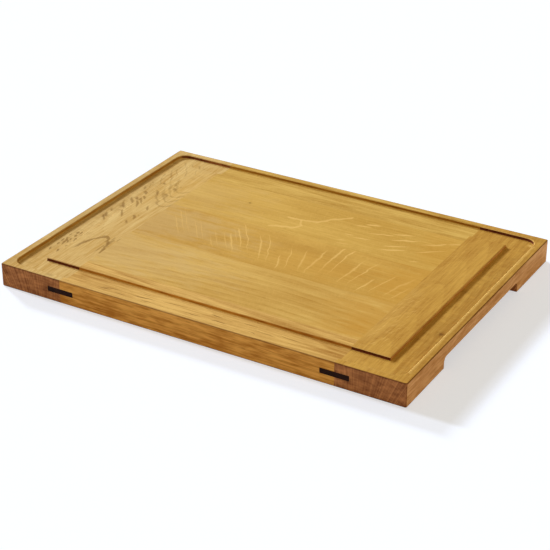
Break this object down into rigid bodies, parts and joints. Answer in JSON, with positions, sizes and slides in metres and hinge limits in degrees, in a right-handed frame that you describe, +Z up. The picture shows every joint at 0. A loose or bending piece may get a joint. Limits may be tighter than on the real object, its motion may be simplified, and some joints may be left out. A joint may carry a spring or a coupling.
{
  "type": "serving board",
  "caption": "Rectangular solid wood serving board with cross-grain end boards, a juice trough round the top and a finger grip under each end.",
  "frame": {"origin": "middle of the underside, which rests on the table", "axes": "+X along the board towards its right end, +Y across it towards its rear long side, +Z up, out of the face with the trough"},
  "size_m": [0.485, 0.35, 0.027],
  "materials": {
    "oak": "satin",
    "dark_tongue": "satin"
  },
  "bodies": {
    "root": {"left_end_board": "oak", "right_end_board": "oak", "rear_edge_board": "oak", "field_board_1": "oak", "field_board_2": "oak", "field_board_3": "oak", "front_edge_board": "oak", "left_tongue": "dark_tongue", "right_tongue": "dark_tongue"}
  },
  "joints": []
}
